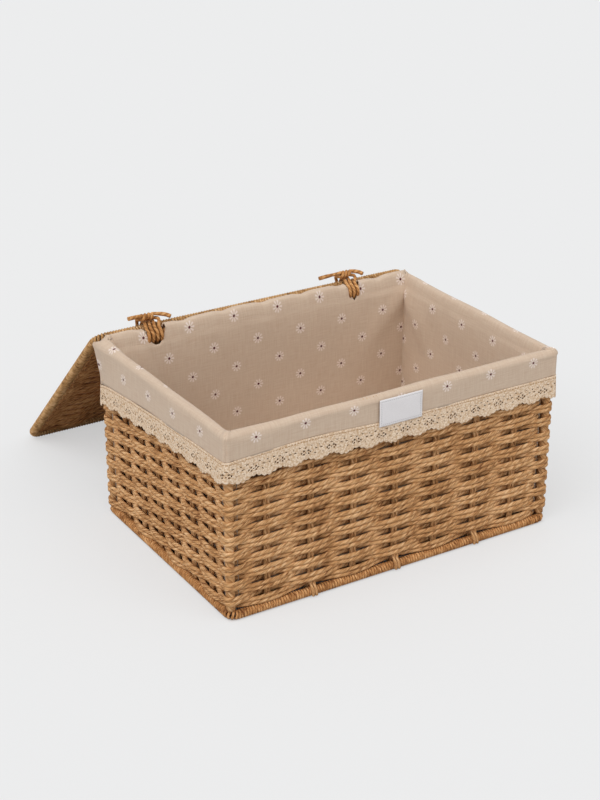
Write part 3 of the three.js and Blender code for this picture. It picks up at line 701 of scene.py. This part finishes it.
columns = plan_columns()
rows, count = len(section), len(columns)
points = [cloth_point(column, row) for column in columns for row in range(rows)]
faces, uvs = [], []
for c, (wall, along, degrees) in enumerate(columns):
    d = (c + 1) % count
    home = (wall + 1) % 4 if degrees is not None and degrees >= 45 else wall
    mark_u, mark_z, mark_outside, skew = print_marks[home]
    mark_v = length_at(mark_z, mark_outside)
    next_along = columns[d][1]
    in_opening = wall == 2 and None not in (along, next_along) and any(
        abs((along + next_along) / 2 - middle) < reach for middle, reach, low, roundness in openings)
    for r in range(rows - 1):
        corners = (c * rows + r, d * rows + r, d * rows + r + 1, c * rows + r + 1)
        # Faces over an opening, and those that its cut has closed up, are left out.
        if in_opening and (r == apex or all(abs(points[corners[k]][2] - points[corners[j]][2]) < 1e-5
                                            for k, j in ((0, 3), (1, 2)))):
            continue
        faces.append(corners)
        for col, row in ((c, r), (d, r), (d, r + 1), (c, r + 1)):
            u = cloth_u(columns[col], row, home)
            v = length_at(points[col * rows + row][2], True) if row >= roll_end else section_length[row]
            uvs.append((u - mark_u, v - mark_v - skew * (u - mark_u)))
# Floor of the bag: a grid of the same cloth within the lowest ring of the wall.
floor_start = len(points)
nx, ny = 24, 16
fx, fy = top_x - wall_in, top_y - wall_in
for j in range(ny + 1):
    for i in range(nx + 1):
        x, y = -fx + 2 * fx * i / nx, -fy + 2 * fy * j / ny
        points.append((x, y, floor_z + 0.0006 * math.sin(40 * x + 1) * math.sin(50 * y)
                       * (1 - (x / fx) ** 8) * (1 - (y / fy) ** 8)))
for j in range(ny):
    for i in range(nx):
        a = floor_start + j * (nx + 1) + i
        faces.append((a, a + 1, a + nx + 2, a + nx + 1))
        for k in (a, a + 1, a + nx + 2, a + nx + 1):
            uvs.append((points[k][0], points[k][1]))

# Printed linen mix: greige cloth with slubby crossing threads, and rows of small white daisies with a
# dark red eye, 35 mm apart on the slant. The print is an ordinary flower pattern.
lattice = 0.0497
apart = lattice / math.sqrt(2)
cloth, shader = new_material("printed_linen_mix", Roughness=0.92, Specular_IOR_Level=0.2, Sheen_Weight=0.15)
uv = add(cloth, "UVMap", uv_map="along")
slant = add(cloth, "Mapping", uv, Rotation=(0, 0, math.radians(45)),
            Scale=(math.sqrt(2) / lattice, math.sqrt(2) / lattice, 1))
cell = add(cloth, "SeparateXYZ", slant)
# How far a place lies from the nearest daisy's middle, both ways in cells, and straight in metres.
from_middle = []
for axis in ("X", "Y"):
    moved = add(cloth, "Math", cell.outputs[axis], 0.5, operation="ADD")
    share = add(cloth, "Math", moved, operation="FRACT")
    from_middle.append(add(cloth, "Math", share, 0.5, operation="SUBTRACT"))
squares = [add(cloth, "Math", way, way, operation="MULTIPLY") for way in from_middle]
root = add(cloth, "Math", add(cloth, "Math", *squares, operation="ADD"), operation="SQRT")
away = add(cloth, "Math", root, apart, operation="MULTIPLY")
# Nine thin petals, drawn as the crests of a wave round the eye, which fade out 5.8 mm from the middle.
angle = add(cloth, "Math", *reversed(from_middle), operation="ARCTAN2")
petal = add(cloth, "Math", add(cloth, "Math", angle, 9.0, operation="MULTIPLY"), operation="COSINE")
width = add(cloth, "Math", away, 75.0, -0.30, operation="MULTIPLY_ADD")
crest = add(cloth, "Math", petal, width, operation="SUBTRACT")
in_petal = add(cloth, "Math", crest, 1.1, 0.5, operation="MULTIPLY_ADD")
in_reach = add(cloth, "Math", away, -900.0, 5.2, operation="MULTIPLY_ADD")
in_both = add(cloth, "Math", in_petal, in_reach, operation="MINIMUM")
ink = add(cloth, "Math", in_both, 0.0, operation="MAXIMUM")
flower = add(cloth, "Math", ink, 0.85, operation="MINIMUM")
eye = add(cloth, "Math", away, 0.00125, operation="LESS_THAN")
# Threads: slubs about 1 mm wide and 17 mm long, both ways.
slub = [add(cloth, "TexNoise", Vector=add(cloth, "Mapping", uv, Scale=per_metre), Scale=1.0, Detail=3.0)
        for per_metre in ((900, 60, 1), (60, 900, 1))]
slubs = add(cloth, "Math", *slub, operation="ADD")
ground = add(cloth, "ValToRGB", add(cloth, "Math", slubs, 0.5, operation="MULTIPLY"))
for stop, position, colour in zip(ground.color_ramp.elements, (0.34, 0.66), ("#C7AD96", "#D2BDA7")):
    stop.position, stop.color = position, linear(colour)
# A colour mix takes its two colours at its sockets 6 and 7, and gives the mixed one at its third output.
printed = add(cloth, "Mix", flower, data_type="RGBA")
plug(printed, {6: ground, 7: linear("#E9D9D0")})
eyed = add(cloth, "Mix", eye, data_type="RGBA")
plug(eyed, {6: printed.outputs[2], 7: linear("#5C2B2B")})
nap = add(cloth, "Bump", Height=slubs, Strength=0.35, Distance=0.0004)
plug(shader, {"Base Color": eyed.outputs[2], "Normal": nap})

liner = piece("liner_cloth", points, faces, uvs, cloth, "basket", "cloth", "liner")


def apply_modifier(target, kind, **settings):
    """Adds a modifier to the piece and applies it."""
    bpy.ops.object.select_all(action="DESELECT")
    target.select_set(True)
    bpy.context.view_layer.objects.active = target
    modifier = target.modifiers.new(kind.lower(), kind)
    for name, value in settings.items():
        setattr(modifier, name, value)
    bpy.ops.object.modifier_apply(modifier=modifier.name)
    target.select_set(False)


apply_modifier(liner, "WELD", merge_threshold=0.0002)
apply_modifier(liner, "SOLIDIFY", thickness=cloth_thick, offset=1.0)


# Lace: a cotton crochet band sewn under the cuff's hem, with groups of small openings and a wavy lower
# edge of small picots. The openings are left out of its mesh, so the weave shows through them.
lace_over, lace_drop, lace_cell, lace_rows = 0.0006, 0.0224, 0.00082, 25
wave_length, picots_per_wave = 0.026, 5
wave_rise, picot_drop = 0.0034, 0.0015
lace_line = ring_line(top_x + 0.0053, top_y + 0.0053, 0.0044, 0, lace_cell)
marks = [0.0]
for (p, _), (q, _) in zip(lace_line, lace_line[1:]):
    marks.append(marks[-1] + np.linalg.norm(q - p))
total = marks[-1] + np.linalg.norm(lace_line[0][0] - lace_line[-1][0])
waves = round(total / wave_length)
tops = []
points, faces, uvs = [], [], []
for (p, out), u in zip(lace_line, marks):
    wave = 0.5 - 0.5 * math.cos(2 * math.pi * waves * u / total)
    picot = abs(math.sin(math.pi * waves * picots_per_wave * u / total))
    side = (0 if p[1] < -top_y + 0.001 else 2 if p[1] > top_y - 0.001 else 1 if p[0] > 0 else 3)
    lace_top = hem_height(side, p[side % 2]) + lace_over
    tops.append(lace_top)
    low = lace_top - lace_drop + wave_rise * wave - picot_drop * picot + 0.0009
    for r in range(lace_rows):
        fall = r / (lace_rows - 1)
        z = lace_top + (low - lace_top) * fall
        lift = 0.0005 * math.sin(2 * math.pi * waves * u / total) * fall + 0.0006 * fall
        points.append((p[0] + out[0] * lift, p[1] + out[1] * lift, z))

# The openings of one wave of the pattern: place across and down it, and half its width and height.
lace_holes = [(-0.0046, 0.0128, 0.0009, 0.0010), (-0.0024, 0.0113, 0.0010, 0.0009),
              (-0.0026, 0.0143, 0.0010, 0.0009), (0.0024, 0.0113, 0.0010, 0.0009),
              (0.0046, 0.0128, 0.0009, 0.0010), (0.0026, 0.0143, 0.0010, 0.0009),
              (0.0, 0.0128, 0.0007, 0.0007), (-0.0105, 0.0108, 0.0012, 0.0006),
              (0.0105, 0.0108, 0.0012, 0.0006), (-0.0125, 0.0076, 0.0012, 0.0005),
              (0.0062, 0.0076, 0.0012, 0.0005), (-0.0062, 0.0076, 0.0012, 0.0005),
              (0.0, 0.0086, 0.0012, 0.0005), (0.0092, 0.0150, 0.0007, 0.0007),
              (-0.0092, 0.0150, 0.0007, 0.0007)]
span = total / waves
for c in range(len(lace_line)):
    d = (c + 1) % len(lace_line)
    u1, u2 = marks[c], marks[d] if d else total
    across = ((u1 + u2) / 2 / span % 1 - 0.5) * span
    for r in range(lace_rows - 1):
        corners = (c * lace_rows + r, c * lace_rows + r + 1, d * lace_rows + r + 1, d * lace_rows + r)
        down = (tops[c] + tops[d]) / 2 - sum(points[k][2] for k in corners) / 4
        if any(((across - hx) / hw) ** 2 + ((down - hy) / hh) ** 2 < 1 for hx, hy, hw, hh in lace_holes):
            continue
        faces.append(corners)
        for k, u, top in zip(corners, (u1, u1, u2, u2), (tops[c], tops[c], tops[d], tops[d])):
            uvs.append((u, top - points[k][2]))

# Crochet cotton: pale cream, matte, with the relief of knots about 1.8 mm apart, and a row of brown
# sewing stitches near its upper edge. The cream darkens away from each knot's middle: painted shade in
# the hollows between the knots.
crochet, shader = new_material("crochet_cotton", Roughness=0.95, Specular_IOR_Level=0.15)
uv = add(crochet, "SeparateXYZ", add(crochet, "UVMap", uv_map="along"))
# The stitches lie 2.2 mm below the upper edge, in a row 0.6 mm high, 3 mm apart.
from_row = add(crochet, "Math", uv.outputs["Y"], 0.0022, operation="SUBTRACT")
off_row = add(crochet, "Math", from_row, operation="ABSOLUTE")
in_row = add(crochet, "Math", off_row, 0.00032, operation="LESS_THAN")
run = add(crochet, "Math", uv.outputs["X"], 330.0, operation="MULTIPLY")
dash = add(crochet, "Math", add(crochet, "Math", run, operation="FRACT"), 0.2, operation="GREATER_THAN")
stitches = add(crochet, "Math", in_row, dash, operation="MULTIPLY")
knots = add(crochet, "TexVoronoi", Vector=add(crochet, "TexCoord").outputs["Object"], Scale=560.0)
# Painted shade: the same knot field that makes the relief colours the thread darker between the knots.
thread_and_knot_shade = add(crochet, "ValToRGB", knots)
for stop, position, colour in zip(thread_and_knot_shade.color_ramp.elements, (0.1, 0.8), ("#F6E2CB", "#CFAE8B")):
    stop.position, stop.color = position, linear(colour)
sewn = add(crochet, "Mix", stitches, data_type="RGBA")
plug(sewn, {6: thread_and_knot_shade, 7: linear("#AE8259")})
relief = add(crochet, "Bump", Height=knots, Strength=0.6, Distance=-0.0005)
plug(shader, {"Base Color": sewn.outputs[2], "Normal": relief})

lace = piece("lace_band", points, faces, uvs, crochet, "basket", "lace", "lace_trim")
apply_modifier(lace, "SOLIDIFY", thickness=0.0006, offset=1.0)


# Label: a plain white satin label, folded at its ends and sewn flat on the front of the cuff.
label_x, label_wide, label_high, label_low, label_thick = -0.001, 0.046, 0.026, 0.1530, 0.0005
cuff_face = -(top_y + roll + cloth_thick)
bpy.ops.object.select_all(action="DESELECT")
bpy.ops.mesh.primitive_grid_add(x_subdivisions=46, y_subdivisions=26, size=1, location=(0, 0, 0))
label = bpy.context.object
label.name = "satin_label"
label.data.uv_layers[0].name = "along"
for v in label.data.vertices:
    u, w = v.co.x, v.co.y
    edge = min(0.5 - abs(u), (0.5 - abs(w)) * 0.6)
    puff = 0.0004 * (1 - math.exp(-edge * 60)) + 0.00025 * math.sin(9 * u + 4 * w) * (1 - abs(w) * 1.4)
    seam = 0.0003 * math.exp(-((edge * label_wide - 0.0020) / 0.0004) ** 2)
    v.co = Vector((label_x + u * label_wide, cuff_face - 0.0004 - puff + seam,
                   label_low + label_high / 2 + w * label_high))
# Satin weave: white polyester with a soft sheen, cross threads 0.1 mm apart that float over about
# 2 mm, and a row of stitches 2 mm inside the edge.
satin, shader = new_material("white_satin", Roughness=0.42, Sheen_Weight=0.3)
uv = add(satin, "UVMap", uv_map="along")
split = add(satin, "SeparateXYZ", uv)
# Places on the label in millimetres, and how far each lies from the nearest edge.
places, insets = [], []
for axis, size in (("X", 46.0), ("Y", 26.0)):
    from_half = add(satin, "Math", split.outputs[axis], 0.5, operation="SUBTRACT")
    inset = add(satin, "Math", 0.5, add(satin, "Math", from_half, operation="ABSOLUTE"), operation="SUBTRACT")
    insets.append(add(satin, "Math", inset, size, operation="MULTIPLY"))
    places.append(add(satin, "Math", split.outputs[axis], size, operation="MULTIPLY"))
border = add(satin, "Math", *insets, operation="MINIMUM")
from_row = add(satin, "Math", add(satin, "Math", border, 2.0, operation="SUBTRACT"), operation="ABSOLUTE")
in_row = add(satin, "Math", from_row, 0.35, operation="LESS_THAN")
run = add(satin, "Math", add(satin, "Math", *places, operation="ADD"), 0.45, operation="MULTIPLY")
dash = add(satin, "Math", add(satin, "Math", run, operation="FRACT"), 0.3, operation="GREATER_THAN")
stitch = add(satin, "Math", in_row, dash, operation="MULTIPLY")
threads = add(satin, "TexNoise", Vector=add(satin, "Mapping", uv, Scale=(20, 240, 1)), Scale=1.0, Detail=2.0)
white = add(satin, "ValToRGB", threads)
for stop, position, colour in zip(white.color_ramp.elements, (0.3, 0.7), ("#DFDADA", "#EDE9E9")):
    stop.position, stop.color = position, linear(colour)
sewn = add(satin, "Mix", stitch, data_type="RGBA")
plug(sewn, {6: white, 7: linear("#C9C5C6")})
weave_lines = add(satin, "Bump", Height=threads, Strength=0.2, Distance=0.0002)
plug(shader, {"Base Color": sewn.outputs[2], "Normal": weave_lines})
label.data.materials.append(satin)
label.data.polygons.foreach_set("use_smooth", [True] * len(label.data.polygons))
apply_modifier(label, "SOLIDIFY", thickness=label_thick, offset=0.0)
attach(label, "basket")
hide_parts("label")


# Lid: a wire ring wound with rope, with stakes across its depth and doubled rope woven to and fro
# between its sides. It hangs open behind the basket with its far edge on the floor.
lid_hinge_at = np.array([0.0, 0.131801, 0.179987])
lid_tilt = math.radians(-43.823406)
lid_run, lid_half, lid_corner = 0.253, 0.1765, 0.010


def on_lid(points):
    """Lid coordinates, with the hinge edge on X and the lid along Y, as places on the object."""
    points = np.asarray(points, float)
    c, s = math.cos(lid_tilt), math.sin(lid_tilt)
    turned = np.stack([points[:, 0], c * points[:, 1] - s * points[:, 2],
                       s * points[:, 1] + c * points[:, 2]], 1)
    return turned + lid_hinge_at


ring = ring_line(lid_half, lid_run / 2, lid_corner, 0, ring_step)
ring = [(p + [0, lid_run / 2, 0], out) for p, out in ring]
turns = on_lid(wound(ring, core=0.0021, strand=0.0012, pitch=0.0030))
lid_edge_rope = paper_rope("lid_edge_rope", lay=0.014, plies=2, creases=5,
                           pale_and_lit_crest="#DDB78A", mid="#B58956", dark_and_shaded_groove="#6B4624")
piece("lid_winding", *rope([turns], [0.00150], 6), lid_edge_rope, "lid", "rope", "lid_binding")

# The rows lie between these distances from the hinge edge. The stakes start at the edge, and beside
# the ties, which need the room, at the first row.
rows_from, rows_to, stake_from = 0.0178, 0.24815, 0.0049
tie_spans = [(left_tie_x - 0.022, left_tie_x + 0.026), (right_tie_x - 0.034, right_tie_x + 0.021)]
for n, x in enumerate(stake_x):
    near = rows_from if any(low < x < high for low, high in tie_spans) else stake_from
    strands = [on_lid(smooth_path([(x + offset, y, 0) for y in (near, 0.12, rows_to)], 0.005))
               for offset in (-0.0013, 0.0013)]
    piece(f"lid_stake_rope_{n + 1}", *rope(strands, [0.00128] * 2, 6), weaving_rope, "lid", "rope",
          f"lid_stake_{n + 1}")

lid_rows = 31
lid_pitch = (rows_to - rows_from) / lid_rows
lid_lines = [on_lid(woven_line(knots, 0.0045))
             for knots in panel_paths(lid_rows, lid_pitch, rows_from + lid_pitch / 2, reach=0.1692,
                                      offset=0.0030, strands=2)]
# Painted shade: the lid's woven rows are the walls' paper rope in darker colours, for the lid's face that
# hangs turned away from the light.
shaded_lid_rope = paper_rope("lid_paper_rope_painted_shade", lay=0.027, plies=3, creases=11,
                      pale_and_lit_crest="#D2A26C", mid="#A87341", dark_and_shaded_groove="#623818")
piece("lid_ropes", *rope(lid_lines, [0.00190] * 2), shaded_lid_rope, "lid", "rope", "lid_weave")


# Ties: one rope each, 3.4 mm thick, wound several times round the back rim and the lid's edge. Its
# two ends are twisted round each other on top and cut off.
tie_radius, tie_reach, loop_radius = 0.0017, 0.014, 0.00655
tie_open = math.radians(8.365421)
loop_pitch = 0.0045
knot_radius, knot_length, knot_turns = 0.00215, 0.0118, 1.5
knot_height = loop_radius + tie_radius + 0.0006 + knot_radius + tie_radius


def on_tie(points, x):
    """Tie coordinates, with the rim at the origin and the lid's edge along Y, as places."""
    points = np.asarray(points, float)
    c, s = math.cos(tie_open), math.sin(tie_open)
    return np.stack([points[:, 0] + x, c * points[:, 1] - s * points[:, 2] + top_y,
                     s * points[:, 1] + c * points[:, 2] + top_z], 1)


def loop_at(share):
    """A point of one loop round the rim and the lid's edge, for a share of its length."""
    arc = math.pi * loop_radius
    s = share * 2 * (tie_reach + arc)
    if s < arc:
        a = math.pi / 2 - s / loop_radius
        return tie_reach + loop_radius * math.cos(a), loop_radius * math.sin(a)
    s -= arc
    if s < tie_reach:
        return tie_reach - s, -loop_radius
    s -= tie_reach
    if s < arc:
        a = -math.pi / 2 - s / loop_radius
        return loop_radius * math.cos(a), loop_radius * math.sin(a)
    return s - arc, loop_radius


def tie_knots(loops, left_end, right_end, left_rise, right_rise):
    """The tie's points from its right end, through the knot and the loops, to its left end."""
    half = knot_length / 2
    low, high = knot_height - knot_radius, knot_height + knot_radius
    top_share = (tie_reach + 2 * math.pi * loop_radius) / (2 * (tie_reach + math.pi * loop_radius))

    def twisted(phase):
        out = []
        for i in range(15):
            t = i / 14
            a = 2 * math.pi * knot_turns * t + phase
            out.append((knot_length * (0.5 - t), tie_reach + knot_radius * math.cos(a),
                        knot_height + knot_radius * math.sin(a)))
        return out

    first, last = loops[0], loops[-1]
    turn_in = min(first, -half)
    out = [(right_end, tie_reach - 0.0080, high + right_rise),
           ((right_end + half) * 0.6, tie_reach - 0.0035, high + right_rise * 0.5), *twisted(math.pi / 2),
           (turn_in - 0.0022, tie_reach + 0.0024, low - 0.0006),
           (turn_in - 0.0009, tie_reach + 0.0056, low - 0.0034)]
    for i, x in enumerate(loops):
        following = loops[i + 1] if i + 1 < len(loops) else None
        for s in range(24):
            share = s / 24
            if i == 0 and share < 0.12:
                continue
            on_top = max(0.0, (share - top_share) / (1 - top_share))
            if following is None and on_top > 0:
                continue
            y, z = loop_at(share)
            out.append((x if following is None else x + (following - x) * on_top, y, z))
    outside = max(last, half) + 0.0042
    out += [(last + (outside - last) * 0.35, tie_reach * 0.3, loop_radius + 0.0005),
            (last + (outside - last) * 0.92, tie_reach * 0.6, loop_radius + 0.0022),
            (outside, tie_reach * 0.86, low - 0.0007), *twisted(-math.pi / 2),
            (-(left_end + half) * 0.62, tie_reach, high + left_rise * 0.5),
            (-left_end, tie_reach, high + left_rise)]
    return out


tie_rope = paper_rope("tie_rope", lay=0.013, plies=2, creases=6,
                      pale_and_lit_crest="#E0AE76", mid="#BA824A", dark_and_shaded_groove="#71411C")
for side, x, loops, free_ends in (
        ("left", left_tie_x, [-1.5, -0.5, 0.5, 1.5], (0.020, 0.022, -0.0002, -0.0022)),
        ("right", right_tie_x, [-1, 0, 1], (0.031, 0.017, -0.0012, -0.0015))):
    line = on_tie(smooth_path(tie_knots([k * loop_pitch for k in loops], *free_ends), 0.0014), x)
    # The free ends have sprung open a little.
    step = np.arange(len(line))
    thick = tie_radius + 0.00035 * np.clip(np.maximum(12 - step, step - len(line) + 12) / 4, 0, 1)
    piece(f"{side}_tie_rope", *rope([line], [thick], 9), tie_rope, f"{side}_tie", "rope", f"{side}_tie")


# Floor, light and camera: a pale seamless floor and room, two broad soft suns and even light from the
# room, at a level at which a colour renders about as it is written.
room_colour = "#EFEFEF"
bpy.ops.object.select_all(action="DESELECT")
bpy.ops.mesh.primitive_plane_add(size=40, location=(0, 0, 0))
floor = bpy.context.object
floor.name = "floor"
pale, shader = new_material("pale_floor", Roughness=0.9, Specular_IOR_Level=0.0, Base_Color=linear("#C4C4C4"))
# The camera sees the floor as pale as the room, with a light shadow of the object on it.
matt = add(pale, "BsdfDiffuse", Color=linear("#E2E2E2"))
glow = add(pale, "Emission", Color=linear(room_colour), Strength=1.0)
# Under the basket it stays dark: the share of glow rises from the bottom ring outwards.
spot = add(pale, "SeparateXYZ", add(pale, "TexCoord").outputs["Object"])
beside = []
for axis, half in (("X", 0.170), ("Y", 0.1155)):
    from_middle = add(pale, "Math", spot.outputs[axis], operation="ABSOLUTE")
    beside.append(add(pale, "Math", from_middle, half, operation="SUBTRACT"))
outer = add(pale, "Math", *beside, operation="MAXIMUM")
share = add(pale, "MapRange", outer, From_Min=0.0, From_Max=0.008, To_Min=0.0, To_Max=0.6)
shown = add(pale, "MixShader", share, matt, glow)
camera_ray = add(pale, "LightPath").outputs["Is Camera Ray"]
plug(pale.node_tree.nodes["Material Output"], {"Surface": add(pale, "MixShader", camera_ray, shader, shown)})
floor.data.materials.append(pale)

# The room's light is faintly blue. The camera, and rays through a gloss or a gap, see its pale wall.
world = bpy.data.worlds.new("soft_room")
bpy.context.scene.world = world
world.use_nodes = True
lit = world.node_tree.nodes["Background"]
plug(lit, {"Color": (0.95, 0.975, 1.0, 1), "Strength": 0.55})
seen = add(world, "Background", Color=linear(room_colour), Strength=1.0)
ray = add(world, "LightPath").outputs
straight = add(world, "Math", ray["Is Camera Ray"], ray["Is Glossy Ray"], operation="MAXIMUM")
either = add(world, "Math", straight, ray["Is Transmission Ray"], operation="MAXIMUM")
plug(world.node_tree.nodes["World Output"], {"Surface": add(world, "MixShader", either, lit, seen)})


def sun(name, towards, strength, softness):
    """A broad soft sun that shines from that direction."""
    data = bpy.data.lights.new(name, "SUN")
    data.energy, data.angle = strength, math.radians(softness)
    made = bpy.data.objects.new(name, data)
    made.location = Vector(towards)
    made.rotation_euler = Vector(towards).to_track_quat("Z", "Y").to_euler()
    bpy.context.collection.objects.link(made)


sun("left_window", (-0.75, -0.25, 1.0), 1.45, 50)
sun("front_window", (0.25, -0.9, 1.1), 0.73, 50)

# The camera stands where the photograph was taken from, as the basket's corners place it.
camera_data = bpy.data.cameras.new("photo_view")
camera_data.sensor_fit, camera_data.sensor_width, camera_data.lens = "AUTO", 36.0, 74.42
camera = bpy.data.objects.new("photo_view", camera_data)
camera.location = (-0.774, -1.2103, 0.7825)
camera.rotation_euler = (math.radians(65.42), 0, math.radians(-31.6))
bpy.context.collection.objects.link(camera)
bpy.context.scene.camera = camera
bpy.context.scene.view_settings.view_transform = "Standard"
